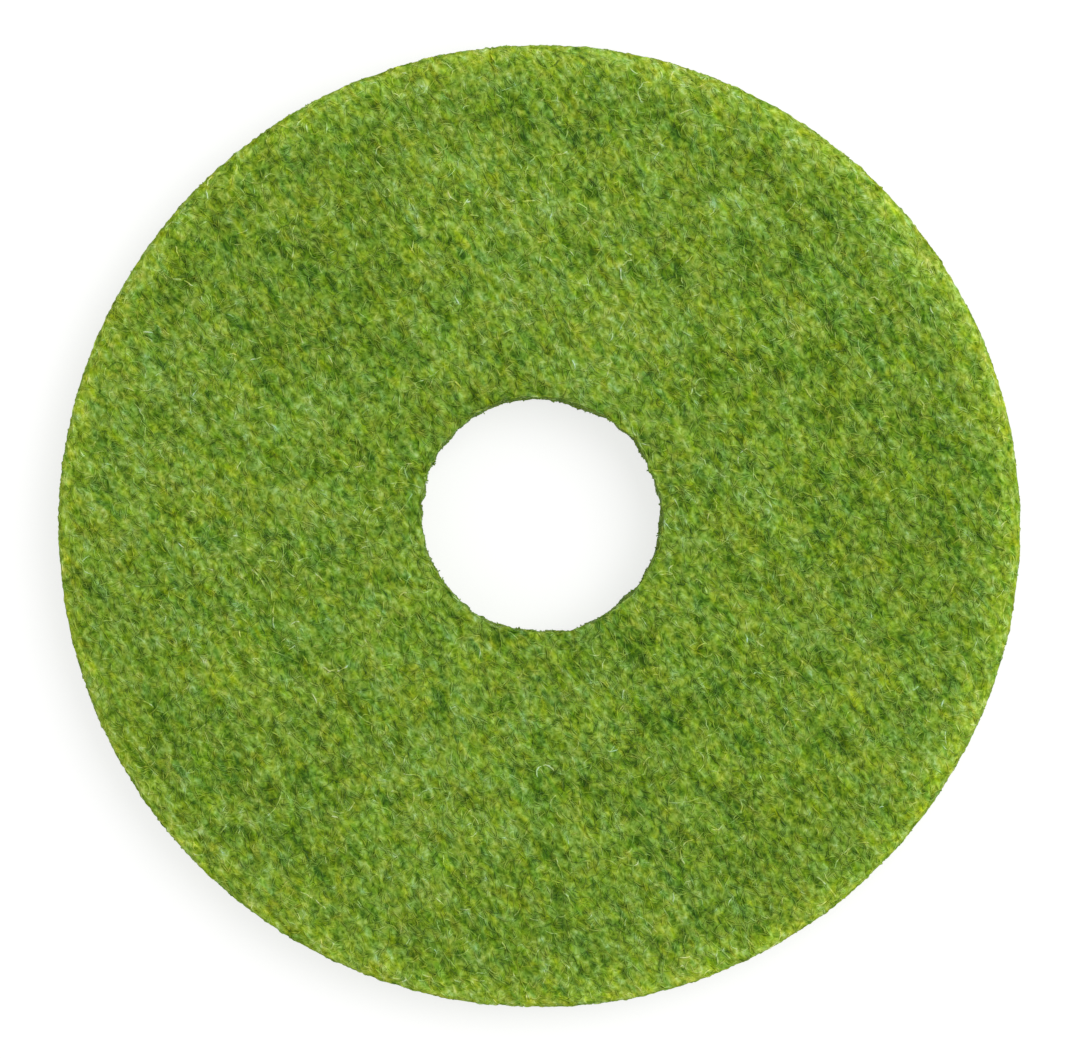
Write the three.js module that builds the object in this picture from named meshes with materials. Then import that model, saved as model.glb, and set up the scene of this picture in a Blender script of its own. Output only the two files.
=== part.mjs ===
// Floor polishing pad: one round sheet of matted fibre web with a punched hole at its middle.
// Millimetres, +Z up. The origin is the middle of the rim's circle, on the face that meets the floor.
import * as THREE from 'three';
import { ImprovedNoise } from 'three/addons/math/ImprovedNoise.js';

// The pad's body. Its rim is soft: each face falls away to it over rimRun, by rimDrop.
const padDiameter = 330;
const padThickness = 25;
const rimRun = 14;
const rimDrop = 6;

// The punched hole is a little oval, and it lies a little off the middle of the rim's circle.
const holeLength = 82;
const holeWidth = 79.8;
const holeTurn = THREE.MathUtils.degToRad(-17);
const holeOffset = new THREE.Vector2(0.4, 3.7);
const holeRound = 0.9;

// The matted surface: lands of web at the full size, with pits sunk between them. Most fibres lie
// at webTurn to +X, and the lands and pits are drawn out along them. The web's noise runs from
// about -1 to 1. It is a land below landLevel and a pit's full depth above pitLevel.
const webTurn = THREE.MathUtils.degToRad(125);
const pitLength = 14;
const pitWidth = 10;
const facePitDepth = 2.2;
const wallPitDepth = 0.25;
const landLevel = 0.02;
const pitLevel = 0.5;

// The surface's facets, from one point of a ring to the next, and the facets round each shoulder.
const facetSize = 6.5;
const rimSteps = 4;
const holeSteps = 2;

const fullTurn = 2 * Math.PI;
const quarterTurn = Math.PI / 2;
const padRadius = padDiameter / 2;
const webNoise = new ImprovedNoise();

// A point on the hole's oval outline, at an angle about the hole's own middle.
function holeEdge(angle) {
  const along = (holeLength / 2) * Math.cos(angle - holeTurn);
  const across = (holeWidth / 2) * Math.sin(angle - holeTurn);
  return new THREE.Vector2(along, across).rotateAround(new THREE.Vector2(), holeTurn).add(holeOffset);
}

// A point on the rim's circle, at an angle about the pad's middle.
function rimEdge(angle) {
  return new THREE.Vector2(padRadius, 0).rotateAround(new THREE.Vector2(), angle);
}

// The section across the web, from the hole's wall to the rim's wall, has four rounded corners:
// quarters of an oval at the rim and of a circle at the hole. A corner has its middle at this share
// of the flat between the shoulders and at this height, and starts at this turn from +Z to the rim.
const rimShoulder = { share: 1, run: rimRun, drop: rimDrop, steps: rimSteps };
const holeShoulder = { share: 0, run: holeRound, drop: holeRound, steps: holeSteps };
const corners = [
  { ...rimShoulder, height: padThickness - rimDrop, turn: 0 },
  { ...rimShoulder, height: rimDrop, turn: quarterTurn },
  { ...holeShoulder, height: holeRound, turn: 2 * quarterTurn },
  { ...holeShoulder, height: padThickness - holeRound, turn: 3 * quarterTurn },
];

// Where a section's point lies: its share of the flat, its inset past that and its height, and how
// far the normal there leans from +Z towards the rim.
function sectionPoint(corner, turn) {
  const sine = Math.sin(turn);
  const cosine = Math.cos(turn);
  return {
    share: corner.share,
    inset: holeRound + corner.run * sine,
    height: corner.height + corner.drop * cosine,
    lean: Math.atan2(corner.drop * sine, corner.run * cosine),
  };
}

function between(start, end, part) {
  return {
    share: THREE.MathUtils.lerp(start.share, end.share, part),
    inset: THREE.MathUtils.lerp(start.inset, end.inset, part),
    height: THREE.MathUtils.lerp(start.height, end.height, part),
    lean: start.lean,
  };
}

// A section's point at an angle round the pad, on the smooth form before the pits are sunk.
function smoothPoint(place, angle) {
  const inner = holeEdge(angle);
  const outer = rimEdge(angle);
  const width = inner.distanceTo(outer);
  const across = place.inset + place.share * (width - holeRound - rimRun);
  const spot = inner.lerp(outer, across / width);
  return new THREE.Vector3(spot.x, spot.y, place.height);
}

// The outward normal of the smooth form, in the section's plane at that angle.
function smoothNormal(place, angle) {
  const outward = rimEdge(angle).sub(holeEdge(angle)).normalize().multiplyScalar(Math.sin(place.lean));
  return new THREE.Vector3(outward.x, outward.y, Math.cos(place.lean));
}

// How far the surface is sunk at a point of the smooth form. The walls, which were cut, are flatter.
function pitDepthAt(point, lean) {
  const spot = new THREE.Vector2(point.x, point.y).rotateAround(new THREE.Vector2(), -webTurn);
  const noise = webNoise.noise(spot.x / pitLength, spot.y / pitWidth, point.z / pitWidth);
  const depth = THREE.MathUtils.lerp(wallPitDepth, facePitDepth, Math.cos(lean) ** 2);
  return depth * THREE.MathUtils.smoothstep(noise, landLevel, pitLevel);
}

// The section as a closed run of places: each corner's arc, then the straight run to the next corner.
function sectionPlaces() {
  const places = [];
  corners.forEach((corner, index) => {
    const following = corners[(index + 1) % corners.length];
    for (let step = 0; step < corner.steps; step += 1) {
      places.push(sectionPoint(corner, corner.turn + (quarterTurn * step) / corner.steps));
    }
    const start = sectionPoint(corner, corner.turn + quarterTurn);
    const end = sectionPoint(following, corner.turn + quarterTurn);
    const run = smoothPoint(start, 0).distanceTo(smoothPoint(end, 0));
    const rowHeight = facetSize * Math.sin(Math.PI / 3);
    const rows = Math.max(1, Math.round(run / rowHeight));
    for (let row = 0; row < rows; row += 1) {
      places.push(between(start, end, row / rows));
    }
  });
  return places;
}

// One ring of points round the pad. Every second ring is turned by half a facet, so that the
// facets between two rings are close to equal-sided.
function makeRing(place, index, positions) {
  const radius = smoothPoint(place, 0).distanceTo(smoothPoint(place, Math.PI)) / 2;
  const quarterCount = Math.round((quarterTurn * radius) / facetSize);
  const count = 4 * quarterCount;
  const first = positions.length / 3;
  const angles = [];
  for (let step = 0; step < count; step += 1) {
    const angle = (fullTurn * (step + (index % 2) / 2)) / count;
    const point = smoothPoint(place, angle);
    point.addScaledVector(smoothNormal(place, angle), -pitDepthAt(point, place.lean));
    positions.push(point.x, point.y, point.z);
    angles.push(angle);
  }
  return { first, count, angles };
}

// Facets between two neighbouring rings: the ring whose next point comes first moves on by one.
function stitch(ring, nextRing, facets) {
  const angleOf = (side, step) => side.angles[step % side.count] + fullTurn * Math.floor(step / side.count);
  const pointOf = (side, step) => side.first + (step % side.count);
  let here = 0;
  let there = 0;
  while (here < ring.count || there < nextRing.count) {
    const moveHere = there >= nextRing.count
      || (here < ring.count && angleOf(ring, here + 1) <= angleOf(nextRing, there + 1));
    facets.push(pointOf(ring, here), pointOf(nextRing, there));
    if (moveHere) {
      here += 1;
      facets.push(pointOf(ring, here));
    } else {
      there += 1;
      facets.push(pointOf(nextRing, there));
    }
  }
}

// The pad's surface closes on itself: the last ring, at the hole's top shoulder, meets the first.
function padGeometry() {
  const positions = [];
  const facets = [];
  const rings = sectionPlaces().map((place, index) => makeRing(place, index, positions));
  rings.forEach((ring, index) => stitch(ring, rings[(index + 1) % rings.length], facets));
  const geometry = new THREE.BufferGeometry();
  geometry.setAttribute('position', new THREE.Float32BufferAttribute(positions, 3));
  geometry.setIndex(facets);
  geometry.computeVertexNormals();
  return geometry;
}

const webMaterial = new THREE.MeshStandardMaterial({
  color: 0x6f8f31,
  roughness: 0.9,
  metalness: 0,
});

const pad = new THREE.Mesh(padGeometry(), webMaterial);
pad.name = 'pad';

const floorPad = new THREE.Group();
floorPad.add(pad);

export default floorPad;
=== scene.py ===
# Looks of the floor polishing pad: the matted web's body, the loose fibres on it, floor and light.
import math
import random

import bmesh
import bpy
import numpy as np
from mathutils import Matrix, Vector, noise
from mathutils.bvhtree import BVHTree


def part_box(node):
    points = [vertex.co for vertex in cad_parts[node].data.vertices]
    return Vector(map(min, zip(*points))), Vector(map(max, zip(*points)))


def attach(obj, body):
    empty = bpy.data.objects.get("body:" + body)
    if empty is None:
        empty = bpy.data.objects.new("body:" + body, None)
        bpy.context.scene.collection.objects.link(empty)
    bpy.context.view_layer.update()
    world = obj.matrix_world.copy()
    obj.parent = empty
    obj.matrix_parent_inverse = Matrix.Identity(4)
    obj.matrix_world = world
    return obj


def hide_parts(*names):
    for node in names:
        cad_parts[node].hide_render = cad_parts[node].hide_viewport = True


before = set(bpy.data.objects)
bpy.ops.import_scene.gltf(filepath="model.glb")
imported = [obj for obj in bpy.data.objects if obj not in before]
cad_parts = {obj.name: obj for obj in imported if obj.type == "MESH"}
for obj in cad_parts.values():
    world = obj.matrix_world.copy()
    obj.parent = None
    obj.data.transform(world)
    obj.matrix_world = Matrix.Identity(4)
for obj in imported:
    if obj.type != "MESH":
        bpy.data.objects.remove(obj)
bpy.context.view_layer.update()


MM = 0.001

# The pad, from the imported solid. Its faces fall away to the rim over this run, by this drop.
pad_low, pad_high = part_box("pad")
THICKNESS = pad_high.z - pad_low.z
RIM_RADIUS = (pad_high.x - pad_low.x) / 2
RIM_RUN = 14 * MM
RIM_DROP = 6 * MM

# The punched hole is a little oval, and a little off the middle of the rim's circle.
HOLE_LENGTH = 82 * MM
HOLE_WIDTH = 79.8 * MM
HOLE_TURN = math.radians(-17)
HOLE_CENTRE = Vector((0.4, 3.7, 0)) * MM

# Most of the web's fibres lie at this angle to +X. Its tufts are drawn out along them, its lumps more
# so, and its streaks most.
WEB_TURN = math.radians(124)
TUFT_STRETCH = 1.3
LUMP_STRETCH = 2.4
STREAK_STRETCH = 3.5

# The photograph's frame, and the pad's rim in it, in pixels.
PHOTO_WIDTH = 1079
PHOTO_HEIGHT = 1059
RIM_CENTRE_X = 539.5
RIM_CENTRE_Y = 526.1
RIM_RADIUS_PIXELS = 481.9

# The camera looks straight down from this far above the pad, and sees this far, in metres.
CAMERA_HEIGHT = 1600 * MM
CAMERA_REACH = 20
SENSOR_WIDTH = 36


def set_camera():
    pixel = RIM_RADIUS / RIM_RADIUS_PIXELS
    camera = bpy.data.cameras.new("camera")
    camera.sensor_width = SENSOR_WIDTH
    camera.lens = SENSOR_WIDTH * (CAMERA_HEIGHT + RIM_DROP) / (PHOTO_WIDTH * pixel)
    camera.clip_end = CAMERA_REACH
    place = bpy.data.objects.new("camera", camera)
    place.location = (
        (PHOTO_WIDTH / 2 - RIM_CENTRE_X) * pixel,
        -(PHOTO_HEIGHT / 2 - RIM_CENTRE_Y) * pixel,
        THICKNESS + CAMERA_HEIGHT,
    )
    bpy.context.scene.collection.objects.link(place)
    bpy.context.scene.camera = place


# Small helpers for node materials.

def new_node(tree, kind, inputs=(), **settings):
    node = tree.nodes.new(kind)
    for name, value in settings.items():
        setattr(node, name, value)
    for name, value in inputs:
        if isinstance(value, bpy.types.NodeSocket):
            tree.links.new(value, node.inputs[name])
        else:
            node.inputs[name].default_value = value
    return node


def math_node(tree, operation, first, second):
    node = new_node(tree, "ShaderNodeMath", [(0, first), (1, second)], operation=operation)
    return node.outputs[0]


def remap(tree, value, low, high, to_low=0.0, to_high=1.0, smooth=False):
    kind = "SMOOTHSTEP" if smooth else "LINEAR"
    node = new_node(
        tree, "ShaderNodeMapRange",
        [("Value", value), ("From Min", low), ("From Max", high), ("To Min", to_low), ("To Max", to_high)],
        interpolation_type=kind,
    )
    return node.outputs[0]


def mix_colours(tree, factor, first, second, blend="MIX"):
    node = new_node(tree, "ShaderNodeMix", data_type="RGBA", blend_type=blend)
    for socket, value in zip((node.inputs[0], node.inputs[6], node.inputs[7]), (factor, first, second)):
        if isinstance(value, bpy.types.NodeSocket):
            tree.links.new(value, socket)
        else:
            socket.default_value = value if isinstance(value, float) else (*value, 1.0)
    return node.outputs[2]


# The part of a noise's values that is spread over a range: nearly all of them, or the middle ones.
NOISE_SPREAD = (0.25, 0.75)
NARROW_SPREAD = (0.3, 0.7)


def noise_value(tree, place, grain, detail=1.0, distortion=0.0):
    """Noise from about 0.2 to 0.8 whose lumps are grain metres wide."""
    node = new_node(
        tree, "ShaderNodeTexNoise",
        [("Vector", place), ("Scale", 1 / grain), ("Detail", detail), ("Distortion", distortion)],
    )
    return node.outputs["Fac"]


def swing(tree, value, size, spread=NOISE_SPREAD):
    """A noise's value, spread to run from minus this size to plus it."""
    return remap(tree, value, *spread, -size, size)


def colour_ramp(tree, value, stops):
    ramp = tree.nodes.new("ShaderNodeValToRGB")
    elements = ramp.color_ramp.elements
    while len(elements) < len(stops):
        elements.new(0.5)
    for element, (position, colour) in zip(elements, stops):
        element.position = position
        element.color = (*colour, 1.0)
    tree.links.new(value, ramp.inputs[0])
    return ramp.outputs[0]


def framed_place(tree, place, centre, turn, scale):
    """The place as it lies in a frame with this centre, turned by this about Z and measured in scale."""
    node = new_node(
        tree, "ShaderNodeMapping",
        [("Vector", place), ("Location", centre), ("Rotation", (0.0, 0.0, turn)), ("Scale", scale)],
        vector_type="TEXTURE",
    )
    return node.outputs[0]


def reach_from_axis(tree, place):
    """How far a place lies from the Z axis of its frame."""
    flat = new_node(tree, "ShaderNodeVectorMath", [(0, place), (1, (1.0, 1.0, 0.0))], operation="MULTIPLY")
    return new_node(tree, "ShaderNodeVectorMath", [(0, flat.outputs[0])], operation="LENGTH").outputs["Value"]


# The web's greens, from the painted shade between the fibres to their palest painted glints.
WEB_GREENS = (
    (0.0, (0.042, 0.106, 0.005)),
    (0.2, (0.101, 0.197, 0.009)),
    (0.4, (0.188, 0.322, 0.024)),
    (0.6, (0.294, 0.455, 0.055)),
    (0.8, (0.425, 0.615, 0.140)),
    (1.0, (0.620, 0.800, 0.340)),
)

# What the greens are multiplied by: from teal patches to olive specks, from fresh specks to greyish
# ones, and along the rim, where painted light makes them yellower.
WEB_CASTS = (
    (0.0, (0.84, 1.02, 1.35)),
    (0.5, (1.00, 1.00, 1.00)),
    (1.0, (1.18, 0.97, 0.70)),
)
FRESH_CAST = (0.99, 1.00, 0.25)
GREY_CAST = (1.01, 1.00, 1.85)
RIM_GLOW_CAST = (1.22, 1.16, 0.80)

# The web's grain: tufts about this wide, streaks, and gaps with painted shade, some teal and some brown.
TUFT_WIDTH = 1.9 * MM
TUFT_CURL = 0.4
TUFT_TONE = 0.27
GAP_WIDTH = 3.2 * MM
GAP_EDGES = (0.56, 0.74)
GAP_SHADE = 0.13
GAP_KIND_WIDTH = 7 * MM
GAP_KIND_EDGES = (0.4, 0.6)
GAP_SHADE_TEAL = 0.85
GAP_SHADE_BROWN = 0.45
STREAK_WIDTH = 4.5 * MM
STREAK_TONE = 0.09

# The web's hue, from 0 for teal to 1 for olive: specks of this size, in patches.
SPECK_WIDTH = 2.6 * MM
SPECK_HUE = 0.37
PATCH_WIDTH = 12 * MM
PATCH_HUES = (0.3, 0.7)

# Slow changes over the web, where it is denser or more open.
DRIFT_WIDTH = 80 * MM
DRIFT_TONE = 0.04

# Painted light along the rim, where light shines in through the open edge and the web shades itself
# less: paler and yellower towards the edge.
RIM_GLOW_START = RIM_RADIUS - 18 * MM
RIM_GLOW_END = RIM_RADIUS - 2 * MM
RIM_GLOW_TONE = 0.16

# Painted light makes the hole's edge paler, against the shade where its shoulder turns away from the
# sky. It is given in shares of the hole's size.
HOLE_EDGE_LIGHT_START = 1.01
HOLE_EDGE_LIGHT_END = 1.04
HOLE_EDGE_LIGHT_TONE = 0.06


def web_colour(tree, place, tone, hue_shift):
    """The web's green at a place: a tone from 0 to 1, moved by its tufts and its gaps' painted shade, with
    painted light at the rim and the hole's edge, cast in patches.
    """
    along, lumps, streaks = (
        framed_place(tree, place, (0.0, 0.0, 0.0), WEB_TURN, (stretch, 1.0, 1.0))
        for stretch in (TUFT_STRETCH, LUMP_STRETCH, STREAK_STRETCH))
    # Painted light at the hole's edge, against the shade on its shoulder.
    from_hole = reach_from_axis(tree, framed_place(
        tree, place, HOLE_CENTRE, HOLE_TURN, (HOLE_LENGTH / 2, HOLE_WIDTH / 2, 1.0)))
    # Painted light: paler and yellower along the rim.
    rim_glow = remap(tree, reach_from_axis(tree, place), RIM_GLOW_START, RIM_GLOW_END)
    rim_glow = math_node(tree, "MULTIPLY", rim_glow, rim_glow)
    tufts = noise_value(tree, along, TUFT_WIDTH, distortion=TUFT_CURL)
    # Painted shade in the web's gaps.
    gaps = remap(tree, noise_value(tree, lumps, GAP_WIDTH), *GAP_EDGES, smooth=True)
    streak = noise_value(tree, streaks, STREAK_WIDTH)
    drift = noise_value(tree, lumps, DRIFT_WIDTH)
    for shift in (
            swing(tree, tufts, TUFT_TONE),
            remap(tree, gaps, 0.0, 1.0, 0.0, -GAP_SHADE),
            swing(tree, streak, STREAK_TONE),
            swing(tree, drift, DRIFT_TONE, NARROW_SPREAD),
            remap(tree, rim_glow, 0.0, 1.0, 0.0, RIM_GLOW_TONE),
            remap(tree, from_hole, HOLE_EDGE_LIGHT_START, HOLE_EDGE_LIGHT_END, HOLE_EDGE_LIGHT_TONE, 0.0, smooth=True)):
        tone = math_node(tree, "ADD", tone, shift)
    green = colour_ramp(tree, tone, WEB_GREENS)
    specks = noise_value(tree, along, SPECK_WIDTH)
    patches = noise_value(tree, lumps, PATCH_WIDTH, detail=2.0)
    hue = math_node(tree, "ADD", swing(tree, specks, SPECK_HUE),
                    remap(tree, patches, *NOISE_SPREAD, *PATCH_HUES))
    # The gaps' painted shade is tinted teal in some and brown in others.
    kinds = noise_value(tree, lumps, GAP_KIND_WIDTH, detail=0.0)
    gap_kind = remap(tree, kinds, *GAP_KIND_EDGES, -GAP_SHADE_TEAL, GAP_SHADE_BROWN)
    hue = math_node(tree, "ADD", hue, math_node(tree, "MULTIPLY", gaps, gap_kind))
    cast = colour_ramp(tree, math_node(tree, "ADD", hue, hue_shift), WEB_CASTS)
    green = mix_colours(tree, 1.0, green, cast, "MULTIPLY")
    grey = noise_value(tree, lumps, SPECK_WIDTH, detail=2.0)
    grey_cast = mix_colours(tree, remap(tree, grey, *NOISE_SPREAD), FRESH_CAST, GREY_CAST)
    green = mix_colours(tree, 1.0, green, grey_cast, "MULTIPLY")
    # Painted light along the rim: a paler, yellower cast.
    rim_glow_green = mix_colours(tree, 1.0, green, RIM_GLOW_CAST, "MULTIPLY")
    return mix_colours(tree, rim_glow, green, rim_glow_green)


def start_material(name):
    material = bpy.data.materials.new(name)
    material.use_nodes = True
    tree = material.node_tree
    tree.nodes.clear()
    place = tree.nodes.new("ShaderNodeTexCoord").outputs["Object"]
    shader = tree.nodes.new("ShaderNodeBsdfPrincipled")
    output = tree.nodes.new("ShaderNodeOutputMaterial")
    tree.links.new(shader.outputs[0], output.inputs["Surface"])
    return material, tree, place, shader


# The body's fibres: strokes of this size that lie at these turns from the web's direction.
STROKE_WIDTH = 0.75 * MM
STROKE_LENGTH = 4.0 * MM
STROKE_TURNS = (-68, -38, -12, 10, 35, 72)
STROKE_EDGES = (0.45, 0.75)

# Each turn's strokes come from a place this much further along. They wander by this reach, over
# this width.
STROKE_SHIFT = 37 * MM
WANDER_WIDTH = 3 * MM
WANDER_REACH = 2.5 * MM
NOISE_MIDDLE = (0.5, 0.5, 0.5)


def fibre_strokes(tree, place):
    """A tangle of bright strokes that cross each other, from 0 in the gaps to 1 on a fibre."""
    wander = new_node(
        tree, "ShaderNodeTexNoise",
        [("Vector", place), ("Scale", 1 / WANDER_WIDTH), ("Detail", 0.0)],
    )
    wander = new_node(
        tree, "ShaderNodeVectorMath",
        [(0, wander.outputs["Color"]), (1, NOISE_MIDDLE)],
        operation="SUBTRACT",
    )
    wander = new_node(
        tree, "ShaderNodeVectorMath",
        [(0, wander.outputs[0]), ("Scale", WANDER_REACH)],
        operation="SCALE",
    )
    bent = new_node(tree, "ShaderNodeVectorMath", [(0, place), (1, wander.outputs[0])]).outputs[0]
    tangle = 0.0
    for index, turn in enumerate(STROKE_TURNS):
        shift = (STROKE_SHIFT * index, 0.0, 0.0)
        lie = framed_place(tree, bent, shift, WEB_TURN + math.radians(turn),
                           (STROKE_LENGTH / STROKE_WIDTH, 1.0, 1.0))
        stroke = remap(tree, noise_value(tree, lie, STROKE_WIDTH, detail=0.0), *STROKE_EDGES)
        tangle = math_node(tree, "MAXIMUM", stroke, tangle)
    return tangle


# The body's tones, from its gaps to its strokes, the painted shade that its pits take off its tone and hue,
# its strokes' height, and its finish.
BODY_TONES = (0.22, 0.53)
BODY_PIT_SHADE = 0.15
BODY_PIT_SHADE_TEAL = 0.15
STROKE_HEIGHT = 0.4 * MM
STROKE_RELIEF = 0.45
BODY_ROUGHNESS = 0.85
BODY_SPECULAR = 0.08


def matted_web():
    """The body under the loose fibres: densely matted, with painted shade in its pits, and a fibrous grain.
    """
    material, tree, place, shader = start_material("matted_web")
    sunk = new_node(tree, "ShaderNodeAttribute", attribute_name="pit_share").outputs["Fac"]
    strokes = fibre_strokes(tree, place)
    tone = remap(tree, strokes, 0.0, 1.0, *BODY_TONES)
    # Painted shade in the pits: darker and tealer.
    tone = math_node(tree, "SUBTRACT", tone, math_node(tree, "MULTIPLY", sunk, BODY_PIT_SHADE))
    pit_shade_teal = remap(tree, sunk, 0.0, 1.0, 0.0, -BODY_PIT_SHADE_TEAL)
    tree.links.new(web_colour(tree, place, tone, pit_shade_teal), shader.inputs["Base Color"])
    bump = new_node(
        tree, "ShaderNodeBump",
        [("Height", strokes), ("Distance", STROKE_HEIGHT), ("Strength", STROKE_RELIEF)],
    )
    tree.links.new(bump.outputs[0], shader.inputs["Normal"])
    shader.inputs["Roughness"].default_value = BODY_ROUGHNESS
    shader.inputs["Specular IOR Level"].default_value = BODY_SPECULAR
    return material


# The loose fibres' tone changes by this along them, over this width. Then their finish.
FIBRE_GRAIN_WIDTH = 1.4 * MM
FIBRE_GRAIN_TONE = 0.08
FIBRE_ROUGHNESS = 0.5
FIBRE_SPECULAR = 0.25


def loose_fibre():
    """The resin-coated fibres on the surface. Each has its own tone and hue, held in its mesh."""
    material, tree, place, shader = start_material("loose_fibre")
    own_tone = new_node(tree, "ShaderNodeAttribute", attribute_name="fibre_tone").outputs["Fac"]
    own_hue = new_node(tree, "ShaderNodeAttribute", attribute_name="fibre_hue").outputs["Fac"]
    grain = noise_value(tree, place, FIBRE_GRAIN_WIDTH)
    tone = math_node(tree, "ADD", own_tone, swing(tree, grain, FIBRE_GRAIN_TONE, NARROW_SPREAD))
    tree.links.new(web_colour(tree, place, tone, own_hue), shader.inputs["Base Color"])
    shader.inputs["Roughness"].default_value = FIBRE_ROUGHNESS
    shader.inputs["Specular IOR Level"].default_value = FIBRE_SPECULAR
    return material


# The web's body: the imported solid's own surface, divided finer and roughened. Loose web fills this
# share of the solid's wide pits, and smaller pits are sunk in it.

BODY_CUTS = 3
SMOOTHING_ROUNDS = 3
SMOOTHING_STRENGTH = 0.5
MERGE_REACH = 0.01 * MM
LOOSE_FILL = 0.5
FACE_COAT = 0.45 * MM
WALL_COAT = 0.15 * MM
PIT_WIDTHS = ((4.6 * MM, 0.6), (2.5 * MM, 0.4))
PIT_START = -0.02
PIT_FULL = 0.34
FACE_PIT_DEPTH = 0.8 * MM
WALL_PIT_DEPTH = 0.2 * MM

# The punched hole's outline, eased outwards by this and waved: each wave's width and size. The wave
# dies out over the faces within this reach of the hole's edge.
HOLE_EASE = 0.3 * MM
HOLE_WAVES = ((24 * MM, 0.65 * MM), (9 * MM, 0.7 * MM), (3.5 * MM, 1.0 * MM))
HOLE_WAVE_START = 263 * MM
HOLE_WAVE_LEAN = 0.15
HOLE_WAVE_REACH = 5 * MM

to_web = Matrix.Diagonal((1 / LUMP_STRETCH, 1, 1)) @ Matrix.Rotation(-WEB_TURN, 3, "Z")


def shown_object(name, mesh, material):
    shown = bpy.data.objects.new(name, mesh)
    bpy.context.scene.collection.objects.link(shown)
    mesh.materials.clear()
    mesh.materials.append(material)
    mesh.shade_smooth()
    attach(shown, "root")
    return shown


def pit_share(place):
    """How deep the surface lies in a pit there: 0 on the open web, 1 at a pit's floor."""
    spot = to_web @ place
    sunk = sum(share * noise.noise(spot / width) for width, share in PIT_WIDTHS)
    ratio = min(1.0, max(0.0, (sunk - PIT_START) / (PIT_FULL - PIT_START)))
    return ratio * ratio * (3 - 2 * ratio)


def blend(start, end, part):
    return start + (end - start) * part


def from_hole_edge(place):
    """How far a place lies outside the hole's oval edge."""
    spot = place - HOLE_CENTRE
    spot.rotate(Matrix.Rotation(-HOLE_TURN, 3, "Z"))
    share = math.hypot(spot.x / (HOLE_LENGTH / 2), spot.y / (HOLE_WIDTH / 2))
    return (share - 1) * HOLE_LENGTH / 2


def wave_hole(place):
    """The place, moved by the waves of the punched hole's outline."""
    strength = min(1.0, max(0.0, 1 - from_hole_edge(place) / HOLE_WAVE_REACH))
    if strength == 0:
        return place
    spot = Vector((place.x, place.y, HOLE_WAVE_START + HOLE_WAVE_LEAN * place.z))
    wave = HOLE_EASE + sum(size * noise.noise(spot / width) for width, size in HOLE_WAVES)
    outward = place - HOLE_CENTRE
    outward.z = 0
    return place + outward.normalized() * (strength * wave)


def fill_height(place, facing):
    """How far loose web lifts a face there towards the smooth form that the wide pits are sunk in."""
    inset = max(0.0, place.xy.length - (RIM_RADIUS - RIM_RUN))
    drop = RIM_DROP * (1 - math.sqrt(max(0.0, 1 - (inset / RIM_RUN) ** 2)))
    depth = THICKNESS / 2 - drop - abs(place.z - THICKNESS / 2)
    return LOOSE_FILL * facing * max(0.0, depth)


def web_surface():
    """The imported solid's surface, joined up and divided, with a coat's room and the pits sunk in it."""
    form = bmesh.new()
    form.from_mesh(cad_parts["pad"].data)
    bmesh.ops.remove_doubles(form, verts=form.verts, dist=MERGE_REACH)
    bmesh.ops.subdivide_edges(form, edges=form.edges, cuts=BODY_CUTS, use_grid_fill=True)
    for _ in range(SMOOTHING_ROUNDS):
        bmesh.ops.smooth_vert(form, verts=form.verts, factor=SMOOTHING_STRENGTH,
                              use_axis_x=True, use_axis_y=True, use_axis_z=True)
    bmesh.ops.triangulate(form, faces=form.faces)
    form.normal_update()
    for vert in form.verts:
        lift = fill_height(vert.co, vert.normal.z ** 2)
        vert.co.z += math.copysign(lift, vert.normal.z)
    form.normal_update()
    sunk = form.verts.layers.float.new("pit_share")
    for vert in form.verts:
        facing = vert.normal.z ** 2
        vert[sunk] = pit_share(vert.co)
        coat = blend(WALL_COAT, FACE_COAT, facing)
        vert.co -= vert.normal * (coat + blend(WALL_PIT_DEPTH, FACE_PIT_DEPTH, facing) * vert[sunk])
        vert.co = wave_hole(vert.co)
    form.normal_update()
    return form


# The flat layouts that colours are baked to. The body is laid out as two discs, its upper and its
# lower half, with the walls unrolled: each disc's middle and radius, for a reach of LAYOUT_REACH.
BAKE_LAYOUT = "OFBake"
CELL_MARGIN = 0.1
LAYOUT_REACH = 180 * MM
UPPER_DISC = ((0.35, 0.35), 0.345)
LOWER_DISC = ((0.76, 0.76), 0.235)
RIM_UNROLL = (151 * MM, 158 * MM)
HOLE_UNROLL = (3 * MM, 1 * MM)


def smooth_rise(values, start, end):
    ratio = np.clip((values - start) / (end - start), 0, 1)
    return ratio * ratio * (3 - 2 * ratio)


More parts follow.
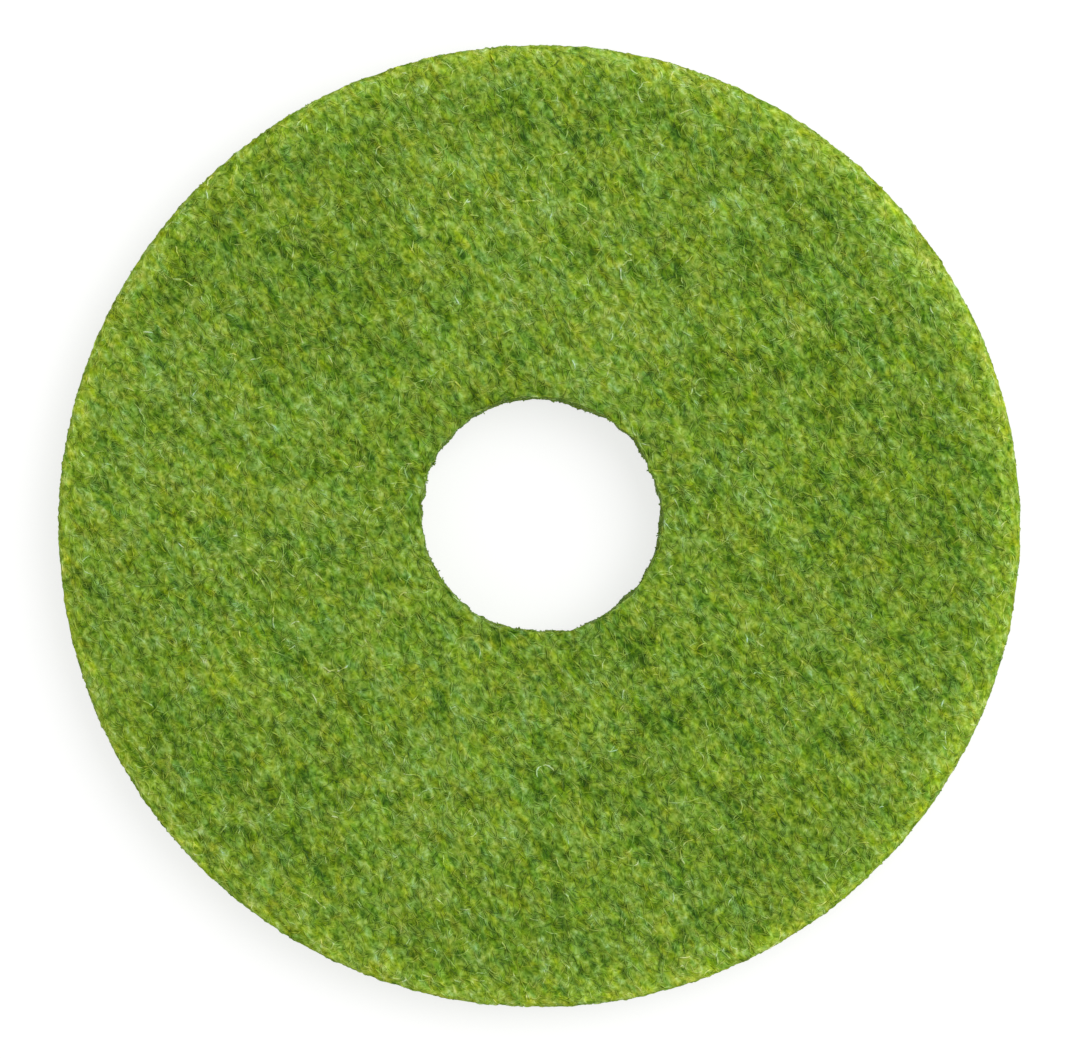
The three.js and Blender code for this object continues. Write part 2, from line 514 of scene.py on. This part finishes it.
def lay_out_body(mesh):
    corner_verts = np.empty(len(mesh.loops), np.int32)
    mesh.loops.foreach_get("vertex_index", corner_verts)
    places = np.empty(3 * len(mesh.vertices), np.float32)
    mesh.vertices.foreach_get("co", places)
    x, y, z = places.reshape(-1, 3)[corner_verts].T
    is_upper = np.repeat(z.reshape(-1, 3).mean(axis=1) > THICKNESS / 2, 3)
    depth = np.where(is_upper, THICKNESS - z, z)
    reach = np.hypot(x, y)
    cosine, sine = math.cos(-HOLE_TURN), math.sin(-HOLE_TURN)
    hole_x, hole_y = x - HOLE_CENTRE.x, y - HOLE_CENTRE.y
    along = (hole_x * cosine - hole_y * sine) * 2 / HOLE_LENGTH
    across = (hole_x * sine + hole_y * cosine) * 2 / HOLE_WIDTH
    from_hole = (np.hypot(along, across) - 1) * HOLE_LENGTH / 2
    unrolled = reach + depth * (smooth_rise(reach, *RIM_UNROLL) - smooth_rise(from_hole, *HOLE_UNROLL))
    flat = np.stack([x, y], axis=1) * (unrolled / reach / LAYOUT_REACH)[:, None]
    (upper_middle, upper_size), (lower_middle, lower_size) = UPPER_DISC, LOWER_DISC
    spots = np.where(is_upper[:, None], upper_middle + upper_size * flat, lower_middle + lower_size * flat)
    mesh.uv_layers.new(name=BAKE_LAYOUT).data.foreach_set("uv", spots.astype(np.float32).ravel())


def make_body(form, material):
    mesh = bpy.data.meshes.new("pad_body")
    form.to_mesh(mesh)
    lay_out_body(mesh)
    body = shown_object("pad_body", mesh, material)
    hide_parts("pad")


# The loose fibres lie along the surface with both ends sunk in it. Short ones are single arches,
# long ones weave in and out. Radii are in mm.

FIBRE_SIDES = 3
FIBRE_RADII = (0.20, 0.38)
SUNK_END = 0.35 * MM
HEADING_SQUASH = 0.62
HEADING_RISE = 0.3
BEND_SPREAD = 0.25
CRIMPS = (0.1, 0.6)
CRIMP_BEAT = 2.4
STRAND_MERGE_REACH = 0.001 * MM

# Cut stubs stand out of the hole's wall. Lengths and radii are in mm.
STUB_COUNT = 700
STUB_SEGMENTS = 2
STUB_LENGTHS = (0.1, 0.5)
STUB_RADII = (0.2, 0.35)
STUB_STRAY = 0.5

# Each strand's own tone and hue. Those in the pits get painted shade, and one in this many is a painted pale
# glint.
STRAND_TONE = 0.46
STRAND_TONE_SPREAD = 0.08
STRAND_HUE_SPREAD = 0.08
STRAND_PIT_SHADE = 0.11
GLINT_EVERY = 20
GLINT_TONE = 0.25


def surface_starts(form, count, chance, keep):
    """Random points on the faces that keep() picks: each is a place and its face's normal."""
    faces = [face for face in form.faces if keep(face)]
    areas = np.cumsum([face.calc_area() for face in faces])
    starts = []
    while len(starts) < count:
        face = faces[int(np.searchsorted(areas, chance.random() * areas[-1]))]
        first, second, third = (vert.co for vert in face.verts)
        u, v = chance.random(), chance.random()
        if u + v > 1:
            u, v = 1 - u, 1 - v
        place = first + (second - first) * u + (third - first) * v
        starts.append((place, face.normal.copy()))
    return starts


def fibre_heading(normal, chance):
    """A direction along the surface there: most fibres lie along the web and flat in its sheet."""
    turn = chance.uniform(0, 2 * math.pi)
    heading = Vector((math.cos(turn), HEADING_SQUASH * math.sin(turn), chance.gauss(0, HEADING_RISE)))
    heading.rotate(Matrix.Rotation(WEB_TURN, 3, "Z"))
    return (heading - normal * heading.dot(normal)).normalized()


def lay_fibre(tree, start, normal, length, segments, arches, lift, chance):
    """A strand's points, walked over the surface from its start with a crimp and a slow bend."""
    heading = fibre_heading(normal, chance)
    bend = chance.gauss(0, BEND_SPREAD)
    crimp = chance.uniform(*CRIMPS)
    phase = chance.uniform(0, 2 * math.pi)
    step = length / segments
    place = start
    points = []
    for index in range(segments + 1):
        rise = abs(math.sin(math.pi * arches * index / segments))
        points.append(place + normal * (lift * rise - SUNK_END * (1 - rise)))
        veer = bend + crimp * math.sin(phase + CRIMP_BEAT * index)
        heading.rotate(Matrix.Rotation(veer, 3, normal))
        heading = (heading - normal * heading.dot(normal)).normalized()
        place, normal, _, _ = tree.find_nearest(place + heading * step)
    return points


def cut_stub(start, normal, free, chance):
    """A cut fibre's points, from just under the surface to its free end, leaning as it likes."""
    points = [start - normal * SUNK_END]
    for part in range(1, STUB_SEGMENTS + 1):
        stray = Vector([chance.gauss(0, STUB_STRAY) for _ in range(3)])
        points.append(start + (normal + stray) * (free * part / STUB_SEGMENTS))
    return points


def fibre_profile():
    """The strands' three-sided section, as a closed curve of unit size."""
    section = bpy.data.curves.new("fibre_section", "CURVE")
    section.dimensions = "2D"
    ring = section.splines.new("POLY")
    ring.points.add(FIBRE_SIDES - 1)
    for index, point in enumerate(ring.points):
        angle = -2 * math.pi * index / FIBRE_SIDES
        point.co = (math.cos(angle), math.sin(angle), 0, 1)
    ring.use_cyclic_u = True
    return bpy.data.objects.new("fibre_section", section)


def sweep_fibres(name, strands, section):
    """One mesh of closed tubes, one for each strand's points and radius."""
    curve = bpy.data.curves.new(name, "CURVE")
    curve.dimensions = "3D"
    curve.bevel_mode = "OBJECT"
    curve.bevel_object = section
    curve.use_fill_caps = True
    for points, radius in strands:
        spline = curve.splines.new("POLY")
        spline.points.add(len(points) - 1)
        for target, place in zip(spline.points, points):
            target.co = (*place, 1)
            target.radius = radius
    holder = bpy.data.objects.new(name, curve)
    bpy.context.scene.collection.objects.link(holder)
    bpy.context.view_layer.update()
    solid = holder.evaluated_get(bpy.context.evaluated_depsgraph_get())
    mesh = bpy.data.meshes.new_from_object(solid)
    bpy.data.objects.remove(holder)
    form = bmesh.new()
    form.from_mesh(mesh)
    bmesh.ops.remove_doubles(form, verts=form.verts, dist=STRAND_MERGE_REACH)
    form.to_mesh(mesh)
    form.free()
    return mesh


def dress_fibres(mesh, segments, tones, hues):
    """Writes each strand's tone and hue on its faces: all the ends come first, last strand foremost."""
    strand = np.arange(len(tones))
    owners = np.concatenate([np.repeat(strand[::-1], 2), np.repeat(strand, segments * FIBRE_SIDES)])
    for name, values in (("fibre_tone", tones), ("fibre_hue", hues)):
        attribute = mesh.attributes.new(name, "FLOAT", "FACE")
        attribute.data.foreach_set("value", np.array(values, np.float32)[owners])
    lay_out_fibres(mesh, owners, len(tones))


def lay_out_fibres(mesh, owners, count):
    """The strands' flat layout for baked colours: a square of cells, each with one strand unrolled."""
    across = math.ceil(math.sqrt(count))
    sides = np.empty(len(mesh.polygons), np.int32)
    mesh.polygons.foreach_get("loop_total", sides)
    owner = np.repeat(owners, sides)
    layout = mesh.uv_layers[0]
    layout.name = BAKE_LAYOUT
    unrolled = np.empty(2 * len(mesh.loops), np.float32)
    layout.data.foreach_get("uv", unrolled)
    cell = np.stack([owner % across, owner // across], axis=1)
    spots = (cell + CELL_MARGIN + (1 - 2 * CELL_MARGIN) * unrolled.reshape(-1, 2)) / across
    layout.data.foreach_set("uv", spots.astype(np.float32).ravel())


def fibre_tone(place, chance):
    """A strand's own tone: darker with painted shade in the pits, and now and then a painted pale glint."""
    tone = chance.gauss(STRAND_TONE, STRAND_TONE_SPREAD) - STRAND_PIT_SHADE * pit_share(place)
    if chance.random() < 1 / GLINT_EVERY:
        tone += GLINT_TONE
    return tone


def show_strands(name, strands, segments, tones, hues, material, section):
    mesh = sweep_fibres(name, strands, section)
    dress_fibres(mesh, segments, tones, hues)
    shown_object(name, mesh, material)


def make_fibres(name, tree, starts, material, section, chance, segments, arches, lengths, lifts):
    strands, tones, hues = [], [], []
    for start, normal in starts:
        length = chance.uniform(*lengths) * MM
        lift = chance.uniform(*lifts) * MM
        radius = chance.uniform(*FIBRE_RADII) * MM
        strands.append((lay_fibre(tree, start, normal, length, segments, arches, lift, chance), radius))
        tones.append(fibre_tone(start, chance))
        hues.append(chance.gauss(0, STRAND_HUE_SPREAD))
    show_strands(name, strands, segments, tones, hues, material, section)


def make_stubs(name, starts, material, section, chance):
    strands, tones, hues = [], [], []
    for start, normal in starts:
        free = blend(*STUB_LENGTHS, chance.random() ** 2) * MM
        radius = chance.uniform(*STUB_RADII) * MM
        strands.append((cut_stub(start, normal, free, chance), radius))
        tones.append(fibre_tone(start, chance))
        hues.append(chance.gauss(0, STRAND_HUE_SPREAD))
    show_strands(name, strands, STUB_SEGMENTS, tones, hues, material, section)


# A face whose normal's rise is over this lies on one of the pad's faces, and else on a wall.
FACE_RISE = 0.5


def on_top(face):
    return face.normal.z > FACE_RISE


def on_floor_side(face):
    return face.normal.z < -FACE_RISE


def on_walls(face):
    return abs(face.normal.z) <= FACE_RISE


def on_hole_wall(face):
    middle = face.calc_center_median() - HOLE_CENTRE
    return on_walls(face) and middle.xy.length < HOLE_LENGTH


# Floor and light. The floor reaches this far each way. Sizes and places are in metres.

FLOOR_REACH = 3
WORLD_LEVEL = 0.62
KEY_SIZE = 1.4
KEY_POWER = 16
KEY_PLACE = (0.9, 0.45, 1.5)
FLOOR_SHADE = 0.4
FLOOR_GLOW = 0.7


def make_floor():
    mesh = bpy.data.meshes.new("floor")
    form = bmesh.new()
    bmesh.ops.create_grid(form, x_segments=1, y_segments=1, size=FLOOR_REACH)
    form.to_mesh(mesh)
    form.free()
    floor = bpy.data.objects.new("floor", mesh)
    bpy.context.scene.collection.objects.link(floor)
    material = bpy.data.materials.new("pale_floor")
    material.use_nodes = True
    tree = material.node_tree
    tree.nodes.clear()
    shade = (FLOOR_SHADE, FLOOR_SHADE, FLOOR_SHADE, 1.0)
    matte = new_node(tree, "ShaderNodeBsdfDiffuse", [("Color", shade)])
    rays = tree.nodes.new("ShaderNodeLightPath").outputs
    seen = math_node(tree, "MAXIMUM", rays["Is Camera Ray"], rays["Is Glossy Ray"])
    seen = math_node(tree, "MAXIMUM", seen, rays["Is Transmission Ray"])
    strength = math_node(tree, "MULTIPLY", seen, FLOOR_GLOW)
    glow = new_node(tree, "ShaderNodeEmission", [("Strength", strength)])
    both = new_node(tree, "ShaderNodeAddShader", [(0, matte.outputs[0]), (1, glow.outputs[0])])
    output = tree.nodes.new("ShaderNodeOutputMaterial")
    tree.links.new(both.outputs[0], output.inputs["Surface"])
    mesh.materials.append(material)


def set_light():
    world = bpy.data.worlds.new("soft_fill")
    bpy.context.scene.world = world
    world.use_nodes = True
    background = world.node_tree.nodes["Background"]
    background.inputs["Color"].default_value = (1, 1, 1, 1)
    background.inputs["Strength"].default_value = WORLD_LEVEL
    lamp = bpy.data.lights.new("key", "AREA")
    lamp.size = KEY_SIZE
    lamp.energy = KEY_POWER
    key = bpy.data.objects.new("key", lamp)
    key.location = KEY_PLACE
    key.rotation_euler = (-key.location).to_track_quat("-Z", "Y").to_euler()
    bpy.context.scene.collection.objects.link(key)


RANDOM_SEED = 13

# The loose fibres, set by set: where they lie, how many there are, each one's segments and arches,
# and the ranges of their lengths and lifts, in mm.
FIBRE_SETS = (
    ("upper_loops_1", on_top, 7000, 4, 1, (3, 6), (0.05, 0.30)),
    ("upper_loops_2", on_top, 7000, 4, 1, (3, 6), (0.05, 0.30)),
    ("upper_runs", on_top, 2500, 8, 2, (8, 13), (0.05, 0.30)),
    ("lower_loops", on_floor_side, 5000, 4, 1, (3, 6), (-0.10, 0.05)),
    ("wall_loops", on_walls, 4000, 4, 1, (2, 5), (-0.05, 0.08)),
)


def make_pad():
    chance = random.Random(RANDOM_SEED)
    surface = web_surface()
    tree = BVHTree.FromBMesh(surface)
    section = fibre_profile()
    fibre = loose_fibre()
    for name, keep, count, segments, arches, lengths, lifts in FIBRE_SETS:
        starts = surface_starts(surface, count, chance, keep)
        make_fibres(name, tree, starts, fibre, section, chance, segments, arches, lengths, lifts)
    stub_starts = surface_starts(surface, STUB_COUNT, chance, on_hole_wall)
    make_stubs("hole_stubs", stub_starts, fibre, section, chance)
    make_body(surface, matted_web())
    surface.free()


set_camera()
make_floor()
set_light()
make_pad()

bpy.context.scene.view_settings.view_transform = "Standard"
